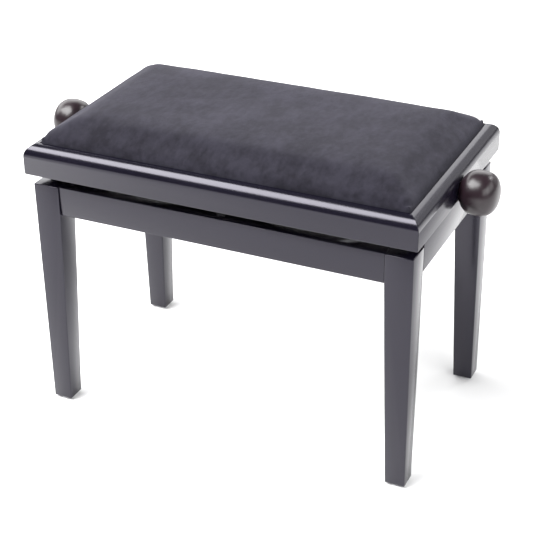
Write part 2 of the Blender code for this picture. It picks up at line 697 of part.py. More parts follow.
def make_spindle_bushes():
    """Flanged nylon bushes in the side rails."""
    inner = SPINDLE_RADIUS + HOLE_PLAY
    start = RAIL_INNER_X - GAP - BUSH_FLANGE
    inside = start + BUSH_FLANGE
    outside = HALF_LENGTH
    profile = ((inner, start), (BUSH_FLANGE_RADIUS, start), (BUSH_FLANGE_RADIUS, inside), (BUSH_RADIUS, inside),
               (BUSH_RADIUS, outside), (inner, outside))
    for end, _, turn in ENDS:
        bm = bmesh.new()
        turned(bm, profile, (0, 0, 0), (1, 0, 0), looped=True)
        add_node("spindle_bush_" + end, bm, "nylon", "seat", at=(0, 0, SPINDLE_Z), turn=turn)


def knob_profile():
    """Section of the right knob from the end of its bore, round its neck and ball, to its pole."""
    bore = SPINDLE_RADIUS + HOLE_PLAY
    points = [(0, KNOB_BORE_END), (bore, KNOB_BORE_END), (bore, KNOB_START), (KNOB_NECK_RADIUS, KNOB_START)]
    first = math.acos(KNOB_NECK_RADIUS / KNOB_RADIUS)
    for i in range(KNOB_STEPS + 1):
        angle = -first + (math.pi / 2 + first) * i / KNOB_STEPS
        points.append((KNOB_RADIUS * math.cos(angle), KNOB_MIDDLE + KNOB_HALF_LENGTH * math.sin(angle)))
    return points


def make_knobs():
    """Turned knobs on the spindle's ends, each held by a pin driven up through knob and spindle."""
    for end, sign, turn in ENDS:
        bm = bmesh.new()
        turned(bm, knob_profile(), (0, 0, 0), (1, 0, 0), KNOB_SIDES)
        cutter = bmesh.new()
        rod(cutter, KNOB_PIN_RADIUS + HOLE_PLAY, (KNOB_PIN_X, 0, -2 * KNOB_RADIUS), (KNOB_PIN_X, 0, KNOB_PIN_TOP),
            SMALL_SIDES)
        add_node("knob_" + end, bm, "knob_lacquer", "spindle", cutter, turn=turn)

        bm = bmesh.new()
        rod(bm, KNOB_PIN_RADIUS, (0, 0, -KNOB_PIN_START), (0, 0, KNOB_PIN_TOP - GAP), SMALL_SIDES)
        add_node("knob_pin_" + end, bm, "bright_steel", "spindle", at=(sign * KNOB_PIN_X, 0, 0))


clear_scene()
EMPTIES = make_body_empties()
make_legs()
make_foot_glides()
make_long_aprons()
make_side_aprons()
make_rest_buffers()
make_corner_brackets()
make_long_seat_rails()
make_side_seat_rails()
make_corner_blocks()
make_seat_board()
make_cushion()
make_steel_rails()
make_arms()
make_rivets()
make_cross_rods()
make_drive_crossbar()
make_spindle()
make_spindle_bushes()
make_knobs()
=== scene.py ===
"""Looks of the piano bench: fine meshes, velvet cushion, finishes, studio light and camera.

Metres, +Z up, in the CAD model's frame: +X runs along the seat and +Y towards its back.
"""
import math

import bmesh
import bpy
import numpy as np
from mathutils import Matrix, Vector, noise


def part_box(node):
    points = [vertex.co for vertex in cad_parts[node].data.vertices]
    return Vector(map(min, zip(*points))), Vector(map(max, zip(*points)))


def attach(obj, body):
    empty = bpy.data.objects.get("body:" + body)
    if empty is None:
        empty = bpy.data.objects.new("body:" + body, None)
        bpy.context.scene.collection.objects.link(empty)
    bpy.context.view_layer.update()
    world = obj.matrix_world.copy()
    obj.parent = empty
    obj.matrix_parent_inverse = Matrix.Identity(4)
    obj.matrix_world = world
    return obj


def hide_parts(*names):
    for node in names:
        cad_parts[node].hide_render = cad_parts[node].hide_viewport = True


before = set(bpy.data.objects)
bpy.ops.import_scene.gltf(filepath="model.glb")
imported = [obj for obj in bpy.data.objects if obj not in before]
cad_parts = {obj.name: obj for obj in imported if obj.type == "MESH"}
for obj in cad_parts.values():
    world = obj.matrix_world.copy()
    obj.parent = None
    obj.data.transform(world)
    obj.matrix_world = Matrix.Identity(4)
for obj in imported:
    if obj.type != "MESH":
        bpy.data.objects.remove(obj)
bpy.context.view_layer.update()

GAP = 0.0003  # between pieces that touch in the CAD model
WELD = 1e-6  # points closer than this become one
SMOOTH_ANGLE = math.radians(32)
AXES = {"x": Vector((1, 0, 0)), "y": Vector((0, 1, 0)), "z": Vector((0, 0, 1))}
CORNERS = (("back_right", 1, 1), ("back_left", -1, 1), ("front_left", -1, -1), ("front_right", 1, -1))
SIDES = (("back", 1), ("front", -1))
ENDS = (("right", 1), ("left", -1))

# Tones; of a pair, the pale one comes first
# Board and corner blocks are near-black: partly their black paint and dark stain, partly painted shade that
# keeps the gap under the seat dark
BOARD_TONES_WITH_GAP_SHADE = ((0.036, 0.033, 0.033), (0.024, 0.022, 0.022))
BLOCK_TONES_WITH_GAP_SHADE = ((0.050, 0.036, 0.030), (0.026, 0.018, 0.015))
BRIGHT_STEEL_TONE = (0.66, 0.66, 0.67)

# Seat rails
RAIL_ROUND = 0.0166  # radius of the rail's outer top edge
RAIL_ROUND_STEPS = 20
RAIL_ROUND_SHARE = 0.97  # most that this rounding may take of the lines beside it
RAIL_FOOT_ROUND = 0.0020  # of its outer bottom edge
RAIL_EASE = 0.0008  # of its other edges
MITRE_GROOVE = 0.00015
HOLE_REACH = 0.0400  # of a side rail's hole, to each side of the rail's outer face

# Cushion, as heights over the rails and distances in from its border
SIDE_HEIGHT = 0.0095  # of the steep side
SIDE_SPREAD = 0.0016
BEVEL_HEIGHT = 0.0220
BEVEL_WIDTH = 0.0340  # out to the bend between the bevel and the flat top
BEND_POWER = 11  # the higher, the sharper that bend
CROWN_RISE = 0.0007  # of the flat top towards its middle
CROWN_SPREAD = 0.0600
CORNER_ROUND = 0.0040
UNEVEN_BROAD = 0.0007
UNEVEN_SMALL = 0.00025
UNEVEN_BROAD_SCALE = 14
UNEVEN_SMALL_SCALE = 45
UNEVEN_START = 0.0060  # height at which the unevenness starts
UNEVEN_FADE = 0.0150  # height over which it then comes in
COVER_SAG = 0.0020  # that the cushion starts below its final height, before it is blown up
SAG_WIDTH = 0.0200  # over which that sag comes in
RIDGE_BLEND = 0.0160  # softens the ridges that run in from the corners
RIDGE_START = 0.0013  # up to which they aren't softened
BORDER_ROWS = (0.0, 0.0005, 0.0013, 0.0026, 0.0046, 0.0074, 0.0110, 0.0154, 0.0210, 0.0265, 0.0305, 0.0340,
               0.0380)  # where the rows of points lie close together
ROW_STEP = 0.0060  # from the last of these to the first inner row
ROW_SPACING = 0.0090  # between the inner rows
HELD_HEIGHT = 0.0004  # below which the cover's points are held in the simulation
SKIRT_DEPTH = 0.0040  # from the rails' top down to the skirt's first row
SKIRT_WIDTH = 0.0012  # thickness of the skirt that runs down between board and rails
CLOTH_FRAMES = 20
TRAVEL_CAP = 0.0030  # furthest that a point of the cushion may move in the simulation
EVENING_PASSES = 6
CUSHION_SMOOTH_ANGLE = math.radians(60)

# Metal and round parts
BRACKET_FLANGE = 0.0230
BRACKET_THICKNESS = 0.0025
EASE = 0.0004  # usual rounding of a small part's edges
FINE_SIDES = 48
BORE_SIDES = 32
SMALL_SIDES = 24
KNOB_SIDES = 96
KNOB_STEPS = 40
KNOB_NECK_RADIUS = 0.0170
KNOB_MIDDLE = 0.3045  # from the middle of the bench
KNOB_POWER = 0.8  # of the sine and cosine in its section: 1 is a ball and less is squarer
KNOB_BORE_END = 0.3180
KNOB_LIP = 0.0005  # that the neck's edge is eased by
PIN_HOLE_DEPTH = 0.0600  # from the pin's top down through the knob
PIN_RADIUS = 0.0040  # of the crossbar's thin ends
CROSSBAR_SHY = 0.0020  # that its thick part ends short of the upper arms
BORE_REACH = 0.0300  # of the crossbar's bore, to each side of its middle
THREAD_START = 0.1150
THREAD_END = 0.2050
THREAD_PITCH = 0.0040
THREAD_DEPTH = 0.0009
THREAD_ROOT = 0.12  # half of its root, as a share of the pitch
THREAD_FLANK = 0.13  # each flank, as a share of the pitch
THREAD_ROWS = 8  # to each turn
THREAD_SIDES = 40
THREAD_RUN_OUT = 0.0010
SPINDLE_CHAMFER = 0.0008
SET_SCREW_RADIUS = 0.0016
SET_SCREW_DEPTH = 0.0015
BUSH_FLANGE = 0.0020  # thickness of a bush's flange
SCREW_HEAD_RADIUS = 0.0036
SCREW_HEAD_HEIGHT = 0.0020
SCREW_INSET = 0.0080  # from a steel rail's ends
SCREW_DROP = 0.0080  # that the lower rails' middle screw sits below the others

# Studio. A light has an azimuth (0 is in front of the bench and 90 at its right) and an elevation in degrees,
# a distance, a size and a radiance.
LIGHTS = (
    ("key_light", -48, 57, 5.4, (4.0, 3.3), 13.8),
    ("back_light", 202, 26, 5.0, (5.4, 3.6), 3.0),
    ("dim_back_light", 150, 20, 5.2, (3.6, 3.0), 0.9),
    ("corner_light", 143, 40, 3.4, (0.8, 0.8), 11.0),
    ("right_light", 92, 28, 5.0, (4.4, 2.8), 2.6),
    ("left_light", -98, 28, 5.0, (4.4, 2.6), 5.0),
    ("front_right_light", 52, 28, 5.0, (3.6, 2.4), 3.6),
)
LIGHT_TARGET = Vector((0, 0, 0.3))
SURROUND_COLOUR = (0.97, 0.98, 1.0, 1.0)
SURROUND_STRENGTH = 0.14
FLOOR_HALF = 14  # half of its width
FLOOR_TONES = ((0.92, 0.92, 0.92), (0.94, 0.94, 0.94))

# Camera
CAMERA_PLACE = Vector((0.7615, -1.6014, 1.1707))
CAMERA_YAW = math.radians(25.053)
CAMERA_PITCH = math.radians(29.071)
CAMERA_ROLL = math.radians(-0.634)
CAMERA_LENS = 93.1


# ---- Places, read from the CAD model ----

def node_middle(name):
    """Middle of a CAD node's box."""
    low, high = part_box(name)
    return (low + high) / 2


def node_size(name):
    """Size of a CAD node's box."""
    low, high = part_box(name)
    return high - low


SPINDLE_Z = node_middle("spindle").z
PIVOT_Z = node_middle("lower_pivot_rod").z


# ---- Materials ----

class Finish:
    """A material that is being built: a Principled shader and the nodes that feed it."""

    def __init__(self, name, **sockets):
        self.material = bpy.data.materials.new(name)
        self.material.use_nodes = True
        self.tree = self.material.node_tree
        self.shader = self.tree.nodes["Principled BSDF"]
        for socket, value in sockets.items():
            self.shader.inputs[socket.replace("_", " ").title().replace("Ior", "IOR")].default_value = value
        self.place = self.add("TexCoord").outputs["Object"]

    def add(self, kind, **inputs):
        """Add a node; an input is set by its name, or joined when it is given a socket."""
        node = self.tree.nodes.new("ShaderNode" + kind)
        for name, value in inputs.items():
            self.put(node.inputs[name.replace("_", " ").title()], value)
        return node

    def put(self, socket, value):
        """Set a socket to a value, or join it to another node's socket."""
        if isinstance(value, bpy.types.NodeSocket):
            self.tree.links.new(value, socket)
        else:
            socket.default_value = value

    def noise(self, scale, stretch=(1, 1, 1), detail=3.0, roughness=0.5, distortion=0.0):
        """A cloud of values round 0.5; stretch multiplies its scale along each axis."""
        mapping = self.add("Mapping", vector=self.place, scale=stretch)
        cloud = self.add("TexNoise", vector=mapping.outputs[0], scale=scale, detail=detail,
                         roughness=roughness, distortion=distortion)
        return cloud.outputs[0]

    def spread(self, value, low, high, start=0.3, end=0.7):
        """Spread the values from start to end over low to high."""
        node = self.add("MapRange", value=value)
        for name, number in (("From Min", start), ("From Max", end), ("To Min", low), ("To Max", high)):
            node.inputs[name].default_value = number
        return node.outputs[0]

    def mix(self, share, first, second):
        """Mix two colours."""
        node = self.tree.nodes.new("ShaderNodeMix")
        node.data_type = "RGBA"
        for index, value in ((0, share), (6, first), (7, second)):
            value = (*value, 1.0) if isinstance(value, tuple) else value
            self.put(node.inputs[index], value)
        return node.outputs[2]

    def math(self, operation, first, second):
        """Combine two values."""
        node = self.tree.nodes.new("ShaderNodeMath")
        node.operation = operation
        self.put(node.inputs[0], first)
        self.put(node.inputs[1], second)
        return node.outputs[0]

    def colour(self, value):
        self.put(self.shader.inputs["Base Color"], value)

    def roughness(self, value):
        self.put(self.shader.inputs["Roughness"], value)

    def bump(self, height, strength, distance):
        """Raise the surface by up to distance where height is 1."""
        node = self.add("Bump", height=height, strength=strength, distance=distance)
        previous = self.shader.inputs["Normal"]
        if previous.is_linked:
            self.put(node.inputs["Normal"], previous.links[0].from_socket)
        self.put(previous, node.outputs[0])


def along(axis, small, large):
    """Stretch that is small along the named axis and large across it."""
    return tuple(small if name == axis else large for name in "xyz")


def lacquer(axis):
    """Satin black lacquer over wood whose grain runs along an axis."""
    finish = Finish("black_lacquer_" + axis, roughness=0.20, ior=1.5, specular_tint=(0.92, 0.89, 1.0, 1.0))
    patches = finish.noise(9.0, detail=2.0)
    finish.colour(finish.mix(patches, (0.0035, 0.0029, 0.0070), (0.0062, 0.0052, 0.0115)))
    finish.roughness(finish.spread(finish.noise(35.0, along(axis, 0.2, 1.0)), 0.16, 0.23))
    finish.bump(finish.noise(420.0, along(axis, 0.03, 1.0), detail=2.0), 0.10, 0.0002)
    finish.bump(finish.noise(260.0, detail=1.0), 0.06, 0.0003)
    return finish.material


def black_paint_and_gap_shade():
    """Matt black powder coat with its fine orange-peel; its near-black tone is partly its own, partly painted
    shade of the gap.
    """
    finish = Finish("black_paint_and_gap_shade", roughness=0.48)
    peel = finish.noise(900.0, detail=2.0)
    # Near-black: the coat's own colour, and painted shade for the lift's rails and arms seen in the gap under
    # the seat
    finish.colour(finish.mix(peel, (0.0140, 0.0140, 0.0150), (0.0220, 0.0220, 0.0230)))
    finish.roughness(finish.spread(peel, 0.42, 0.56))
    finish.bump(peel, 0.20, 0.0002)
    return finish.material


def knob_lacquer():
    """Dark red-brown satin lacquer on turned wood."""
    finish = Finish("knob_lacquer", roughness=0.30, ior=1.50)
    grain = finish.noise(120.0, along("x", 0.08, 1.0), detail=4.0, distortion=0.4)
    finish.colour(finish.mix(grain, (0.0080, 0.0045, 0.0065), (0.0200, 0.0095, 0.0140)))
    finish.bump(finish.noise(300.0, detail=1.0), 0.04, 0.0002)
    return finish.material


def velvet():
    """Charcoal velvet whose nap lies in soft patches."""
    finish = Finish("velvet", roughness=0.95, specular_ior_level=0.10, sheen_weight=0.15,
                    sheen_roughness=0.50, sheen_tint=(0.74, 0.72, 0.84, 1.0))
    broad = finish.noise(18.0, (1, 0.55, 1), detail=6.0, roughness=0.66)
    small = finish.noise(110.0, (1, 0.55, 1), detail=3.0, roughness=0.6)
    nap = finish.math("ADD", finish.math("MULTIPLY", broad, 0.65), finish.math("MULTIPLY", small, 0.35))
    share = finish.spread(nap, 0.0, 1.0, 0.42, 0.59)
    tone = finish.mix(share, (0.0115, 0.0107, 0.0156), (0.0255, 0.0240, 0.0340))
    pile = finish.noise(1500.0, detail=2.0)
    finish.colour(finish.mix(finish.spread(pile, 0.0, 0.35), tone, (0.0060, 0.0055, 0.0085)))
    finish.bump(pile, 0.35, 0.0004)
    finish.bump(nap, 0.35, 0.0030)
    return finish.material


def steel(name, tone, rough, axis):
    """Steel with fine turning lines round an axis."""
    finish = Finish(name, metallic=1.0, roughness=rough)
    stretch = along(axis, 1.0, 0.03)
    lines = finish.noise(700.0, stretch, detail=3.0)
    dark = tuple(0.78 * part for part in tone)
    finish.colour(finish.mix(lines, dark, tone))
    finish.roughness(finish.spread(lines, rough * 0.8, rough * 1.3))
    finish.bump(finish.noise(900.0, stretch, detail=2.0), 0.08, 0.0002)
    return finish.material


def wood(name, axis, pale, dark):
    """Stained or thinly painted wood whose grain and fine pores along an axis still show; near-black tones
    add painted shade.
    """
    finish = Finish(name, roughness=0.60)
    broad = finish.noise(22.0, along(axis, 0.12, 1.0), detail=4.0, distortion=0.6)
    pores = finish.noise(500.0, along(axis, 0.04, 1.0), detail=2.0)
    tone = finish.mix(finish.spread(broad, 0.0, 1.0), pale, dark)
    pore_tone = tuple(0.55 * part for part in dark)
    finish.colour(finish.mix(finish.spread(pores, 0.0, 0.5, 0.5, 0.75), tone, pore_tone))
    finish.bump(pores, 0.25, 0.0003)
    return finish.material


def plastic(name, colour, rough):
    """Moulded plastic or rubber with a fine grain."""
    finish = Finish(name, roughness=rough)
    grain = finish.noise(600.0, detail=2.0)
    finish.colour(finish.mix(grain, tuple(0.8 * part for part in colour), colour))
    finish.roughness(finish.spread(grain, rough * 0.9, min(1.0, rough * 1.15)))
    finish.bump(grain, 0.12, 0.0002)
    return finish.material


FINISHES = {
    "lacquer_x": (lacquer("x"), "black_lacquer"),
    "lacquer_y": (lacquer("y"), "black_lacquer"),
    "lacquer_z": (lacquer("z"), "black_lacquer"),
    "knob": (knob_lacquer(), "knob_lacquer"),
    "velvet": (velvet(), "velvet"),
    # The board's and blocks' near-black tones are partly paint and stain, partly painted shade of the gap
    # under the seat
    "plywood": (wood("painted_plywood", "x", *BOARD_TONES_WITH_GAP_SHADE), "painted_plywood"),
    "beech": (wood("stained_beech", "x", *BLOCK_TONES_WITH_GAP_SHADE), "stained_beech"),
    "black": (black_paint_and_gap_shade(), "black_steel"),
    "bright_y": (steel("bright_steel_y", BRIGHT_STEEL_TONE, 0.22, "y"), "bright_steel"),
    "bright_x": (steel("bright_steel_x", BRIGHT_STEEL_TONE, 0.22, "x"), "bright_steel"),
    "nylon": (plastic("nylon", (0.72, 0.71, 0.66), 0.42), "nylon"),
    "rubber": (plastic("rubber", (0.024, 0.024, 0.024), 0.75), "rubber"),
    "glide": (plastic("glide_plastic", (0.58, 0.58, 0.60), 0.45), "glide_plastic"),
}


# ---- Meshes and pieces ----

def mesh_of(name, bm):
    """Turn a bmesh into a mesh, and free the bmesh."""
    mesh = bpy.data.meshes.new(name)
    bm.to_mesh(mesh)
    bm.free()
    return mesh


def weld(bm):
    """Join the points that lie in one place, such as those of a ring on its axis."""
    bmesh.ops.remove_doubles(bm, verts=bm.verts, dist=WELD)


def add_piece(name, bm, finish, body, *nodes):
    """Turn a bmesh into a piece that rides on a body and stands for the named CAD nodes."""
    bmesh.ops.recalc_face_normals(bm, faces=bm.faces)
    mesh = mesh_of(name, bm)
    material, slot = FINISHES[finish]
    mesh.materials.append(material)
    mesh.shade_smooth()
    mesh.set_sharp_from_angle(angle=SMOOTH_ANGLE)
    piece = bpy.data.objects.new(name, mesh)
    bpy.context.collection.objects.link(piece)
    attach(piece, body)
    if nodes:
        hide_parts(*nodes)
    return piece


def loft(bm, rings, looped=False, capped=True):
    """Join rings of points, each with the same count, into a solid; a looped one ends at its start."""
    loops = [[bm.verts.new(point) for point in ring] for ring in rings]
    following = loops[1:] + loops[:1] if looped else loops[1:]
    for lower, upper in zip(loops, following):
        for i, corner in enumerate(lower):
            j = (i + 1) % len(lower)
            bm.faces.new((corner, lower[j], upper[j], upper[i]))
    if capped and not looped:
        bm.faces.new(loops[0])
        bm.faces.new(loops[-1])
    return loops


def rounded(points, radii, closed=True, steps=4, most=0.49):
    """The 2-D outline with its corners turned into arcs that take up to a share of the lines beside them.

    Radii is one number, or one for each corner.
    """
    points = [Vector(point) for point in points]
    if not hasattr(radii, "__len__"):
        radii = [radii] * len(points)
    outline = []
    for i, (corner, radius) in enumerate(zip(points, radii)):
        if radius == 0 or (not closed and i in (0, len(points) - 1)):
            outline.append(corner)
            continue
        before = points[i - 1] - corner
        after = points[(i + 1) % len(points)] - corner
        half = before.angle(after) / 2
        reach = min(radius / math.tan(half), before.length * most, after.length * most)
        start = corner + before.normalized() * reach
        end = corner + after.normalized() * reach
        weight = math.sin(half)
        for step in range(steps + 1):
            t = step / steps
            shares = ((1 - t) ** 2, 2 * weight * t * (1 - t), t * t)
            outline.append((start * shares[0] + corner * shares[1] + end * shares[2]) / sum(shares))
    return outline


def turned(bm, profile, start, direction, sides=FINE_SIDES, looped=False, ease=0.0):
    """Add a turned solid from (radius, distance) corners, with its edges eased."""
    outline = rounded(profile, ease, closed=looped) if ease else [Vector(point) for point in profile]
    axes = Vector(direction).to_track_quat("Z", "Y").to_matrix()
    turns = [math.tau * i / sides for i in range(sides)]
    rings = []
    for radius, distance in outline:
        rings.append([Vector(start) + axes @ Vector((radius * math.cos(a), radius * math.sin(a), distance))
                      for a in turns])
    loft(bm, rings, looped)


def cut(bm, cutter_bm):
    """Take the cutter's solids out of a closed bmesh and return the new bmesh."""
    things = []
    for name, source in (("part", bm), ("cutter", cutter_bm)):
        bmesh.ops.recalc_face_normals(source, faces=source.faces)
        thing = bpy.data.objects.new(name, mesh_of(name, source))
        bpy.context.collection.objects.link(thing)
        things.append(thing)
    part, cutter = things
    hole = part.modifiers.new("hole", "BOOLEAN")
    hole.operation = "DIFFERENCE"
    hole.solver = "EXACT"
    hole.object = cutter
    graph = bpy.context.evaluated_depsgraph_get()
    result = bmesh.new()
    result.from_object(part, graph)
    for thing in things:
        bpy.data.objects.remove(thing, do_unlink=True)
    return result


def clean_copy(node):
    """A CAD node's mesh with its points joined and its flat faces whole."""
    bm = bmesh.new()
    bm.from_mesh(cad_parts[node].data)
    bmesh.ops.remove_doubles(bm, verts=bm.verts, dist=2 * WELD)
    bmesh.ops.dissolve_limit(bm, angle_limit=math.radians(0.5), verts=bm.verts, edges=bm.edges)
    return bm


def bend_edges(bm, low, high):
    """Edges along Z where two faces meet at between low and high degrees."""
    found = []
    for edge in bm.edges:
        way = edge.verts[1].co - edge.verts[0].co
        upright = way.length > 0 and abs(way.normalized().z) > 0.999
        if upright and len(edge.link_faces) == 2:
            if math.radians(low) < edge.calc_face_angle(0) < math.radians(high):
                found.append(edge)
    return found


def sharp_edges(bm, angle=40):
    """Edges where two faces meet at more than an angle."""
    return [edge for edge in bm.edges
            if len(edge.link_faces) == 2 and edge.calc_face_angle(0) > math.radians(angle)]


def ease_edges(bm, edges, width, segments=2):
    """Round the edges."""
    bmesh.ops.bevel(bm, geom=edges, offset=width, segments=segments, profile=0.5, affect="EDGES",
                    clamp_overlap=True)


def refine(node, finish, body, ease=0.0, bend=0.0):
    """Stand a smooth copy in for a CAD node, with its sharp edges eased and its bends rounded."""
    bm = clean_copy(node)
    if bend:
        ease_edges(bm, bend_edges(bm, 40, 50), bend, 5)
    if ease:
        ease_edges(bm, sharp_edges(bm), ease)
    return add_piece(node + "_fine", bm, finish, body, node)


# ---- Base ----

def make_base():
    """Legs, aprons, brackets and their bolts, glides and buffers."""
    for corner, _, _ in CORNERS:
        refine("leg_" + corner, "lacquer_z", "base")
        refine("corner_bracket_" + corner, "black", "base", ease=0.0003, bend=0.0030)
        make_bolt(corner)
        make_glide(corner)
        make_buffer(corner)
    for side, _ in SIDES:
        refine(side + "_apron", "lacquer_x", "base")
    for end, _ in ENDS:
        refine("side_apron_" + end, "lacquer_y", "base")


def make_bolt(corner):
    """Hexagon bolt of a corner bracket."""
    node = "corner_bolt_" + corner
    bm = clean_copy(node)
    ease_edges(bm, sharp_edges(bm), EASE, 3)
    add_piece(node + "_fine", bm, "bright_y", "base", node)


def make_glide(corner):
    """Nail-on glide under a foot: a domed plastic button round a steel nail's head."""
    node = "foot_glide_" + corner
    low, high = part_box(node)
    middle = node_middle(node)
    radius = node_size(node).x / 2
    height = high.z - low.z
    bm = bmesh.new()
    profile = ((0.0030, 0.0006), (0.0036, 0.0006), (0.0042, 0), (radius * 0.80, 0), (radius, height * 0.45),
               (radius, height), (0.0030, height))
    turned(bm, profile, (middle.x, middle.y, low.z), AXES["z"], looped=True, ease=0.0006)
    nail = ((0, 0.0007), (0.0015, 0.0005), (0.0028, 0.0009), (0.0028, height), (0, height))
    turned(bm, nail, (middle.x, middle.y, low.z), AXES["z"])
    weld(bm)
    add_piece(node + "_fine", bm, "glide", "base", node)


def make_buffer(corner):
    """Round rubber buffer, slightly dished."""
    node = "rest_buffer_" + corner
    low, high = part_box(node)
    middle = node_middle(node)
    radius = node_size(node).x / 2
    height = high.z - low.z
    bm = bmesh.new()
    profile = ((0, 0), (radius, 0), (radius * 0.94, height), (radius * 0.55, height), (0, height * 0.8))
    turned(bm, profile, (middle.x, middle.y, low.z), AXES["z"], ease=EASE)
    weld(bm)
    add_piece(node + "_fine", bm, "rubber", "base", node)


# ---- Seat frame ----

def rail_profile():
    """Section of a seat rail as (distance in from the outer face, height)."""
    low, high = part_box("seat_rail_back")
    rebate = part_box("seat_board")[0].z - GAP
    inset = high.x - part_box("velvet_cover")[1].x - GAP
    width = high.y - low.y
    corners = ((0, low.z), (0, high.z), (inset, high.z), (inset, rebate), (width, rebate), (width, low.z))
    top = rounded(corners[:3], (0, RAIL_ROUND, 0), closed=False, steps=RAIL_ROUND_STEPS,
                  most=RAIL_ROUND_SHARE)
    whole = [corners[0]] + top[1:-1] + list(corners[2:])
    radii = [RAIL_FOOT_ROUND] + [0] * (len(top) - 2) + [RAIL_EASE / 2] + [0, RAIL_EASE / 2, RAIL_EASE]
    return rounded(whole, radii)


def make_seat_rails():
    """Moulded rails with mitred corners; a hair-thin groove shows at each mitre."""
    profile = rail_profile()
    centre = sum(profile, Vector((0, 0))) / len(profile)
    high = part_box("seat_rail_back")[1]
    depth = high.y
    length = high.x + GAP / math.sqrt(2)
    joint = GAP / math.sqrt(2)
    rails = [("seat_rail_" + side, length, depth, 0 if sign > 0 else 180, "lacquer_x")
             for side, sign in SIDES]
    rails += [("seat_rail_" + end, depth, length, -90 if sign > 0 else 90, "lacquer_y")
              for end, sign in ENDS]
    for name, half_length, half_width, turn, finish in rails:
        rings = []
        for end, back, shrink in ((-1, 0, 1), (-1, 2 * MITRE_GROOVE, 0), (1, 2 * MITRE_GROOVE, 0), (1, 0, 1)):
            ring = []
            for point in profile:
                inward = (centre - point).normalized() * MITRE_GROOVE * shrink
                inset, height = point + inward
                ring.append((end * (half_length - joint - back - inset), half_width - inset, height))
            rings.append(ring)
        bm = bmesh.new()
        loft(bm, rings)
        bmesh.ops.rotate(bm, verts=bm.verts, matrix=Matrix.Rotation(math.radians(turn), 3, "Z"))
        if finish == "lacquer_y":
            cutter = bmesh.new()
            side = 1 if name.endswith("right") else -1
            hole = bush_hole()
            start = (side * (half_width - HOLE_REACH), 0, SPINDLE_Z)
            turned(cutter, ((hole, 0), (hole, 2 * HOLE_REACH)), start, (side, 0, 0), BORE_SIDES)
            bm = cut(bm, cutter)
        add_piece(name + "_fine", bm, finish, "seat", name)


def bush_hole():
    """Radius of the holes in the side rails: that of the bush's body, and the gap."""
    node = "spindle_bush_right"
    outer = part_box(node)[1].x
    points = [vertex.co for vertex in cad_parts[node].data.vertices]
    return max(math.hypot(p.y, p.z - SPINDLE_Z) for p in points if p.x > outer - GAP) + GAP


def make_seat_frame():
    """Corner blocks and board under the seat."""
    for corner, _, _ in CORNERS:
        refine("corner_block_" + corner, "beech", "seat", ease=0.0008)
    refine("seat_board", "plywood", "seat", ease=EASE)


# ---- Cushion ----

def smooth_least(first, second, blend):
    """The smaller of two distances, with the change-over between them rounded."""
    overlap = max(blend - abs(first - second), 0)
    return min(first, second) - overlap * overlap / (4 * blend)


def crown_height(distance):
    """Height of the cushion over the rails: a steep side, a bevel, then a nearly flat top."""
    share = distance / BEVEL_WIDTH
    side = SIDE_HEIGHT * (1 - math.exp(-distance / SIDE_SPREAD))
    bevel = BEVEL_HEIGHT * share / (1 + share ** BEND_POWER) ** (1 / BEND_POWER)
    top = CROWN_RISE * (1 - math.exp(-max(distance - BEVEL_WIDTH, 0) / CROWN_SPREAD))
    return side + bevel + top


def spaced(half):
    """Places from -half to half: close together at both borders and bends, then evenly apart."""
    start = BORDER_ROWS[-1] + ROW_STEP
    count = round(2 * (half - start) / ROW_SPACING)
    inner = [-half + start + 2 * (half - start) * i / count for i in range(count + 1)]
    return [d - half for d in BORDER_ROWS] + inner + [half - d for d in BORDER_ROWS[::-1]]


def cushion_point(x, y, half_x, half_y, rail_top):
    """The cover's point for a place of the grid, drawn in at the rounded corners and raised by the crown."""
    in_x = half_x - abs(x)
    in_y = half_y - abs(y)
    push = max(CORNER_ROUND - in_x, 0), max(CORNER_ROUND - in_y, 0)
    if push[0] and push[1]:
        longest = max(push)
        scale = longest / math.hypot(*push)
        x = math.copysign(half_x - CORNER_ROUND + push[0] * scale, x)
        y = math.copysign(half_y - CORNER_ROUND + push[1] * scale, y)
        distance = CORNER_ROUND - longest
    else:
        distance = smooth_least(in_x, in_y, RIDGE_BLEND)
        distance = max(distance, min(in_x, in_y, RIDGE_START), 0)
    sag = COVER_SAG * min(distance / SAG_WIDTH, 1)
    return x, y, rail_top + max(crown_height(distance) - sag, 0)


def cushion_mesh():
    """The cover as a grid over the pad, with a skirt between board and rails, and its held points."""
    low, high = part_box("velvet_cover")
    rail_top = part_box("seat_rail_back")[1].z
    bm = bmesh.new()
    grid = [[bm.verts.new(cushion_point(x, y, high.x, high.y, rail_top)) for x in spaced(high.x)]
            for y in spaced(high.y)]
    for lower, upper in zip(grid, grid[1:]):
        for i in range(len(lower) - 1):
            bm.faces.new((lower[i], lower[i + 1], upper[i + 1], upper[i]))
    border = grid[0] + [row[-1] for row in grid[1:]] + grid[-1][-2::-1] + [row[0] for row in grid[-2:0:-1]]
    board_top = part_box("seat_board")[1].z + GAP
    levels = ((0, rail_top - SKIRT_DEPTH), (0, low.z), (SKIRT_WIDTH, low.z), (SKIRT_WIDTH, board_top))
    rings = []
    for inset, z in levels:
        share_x = 1 - inset / high.x
        share_y = 1 - inset / high.y
        rings.append([bm.verts.new((vertex.co.x * share_x, vertex.co.y * share_y, z)) for vertex in border])
    for lower, upper in zip([border] + rings, rings):
        for i in range(len(lower)):
            j = (i + 1) % len(lower)
            bm.faces.new((lower[i], upper[i], upper[j], lower[j]))
    bm.faces.new(rings[-1])
    bmesh.ops.recalc_face_normals(bm, faces=bm.faces)
    bm.verts.index_update()
    held = [vertex.index for vertex in bm.verts if vertex.co.z < rail_top + HELD_HEIGHT]
    return bm, held


def places_of(mesh):
    """The mesh's points as rows of three numbers."""
    places = np.empty(3 * len(mesh.vertices), dtype=np.float32)
    mesh.vertices.foreach_get("co", places)
    return places.reshape(-1, 3)


def put_places(mesh, places):
    """Move the mesh's points to the rows of three numbers."""
    mesh.vertices.foreach_set("co", np.asarray(places, dtype=np.float32).reshape(-1))
    mesh.update()


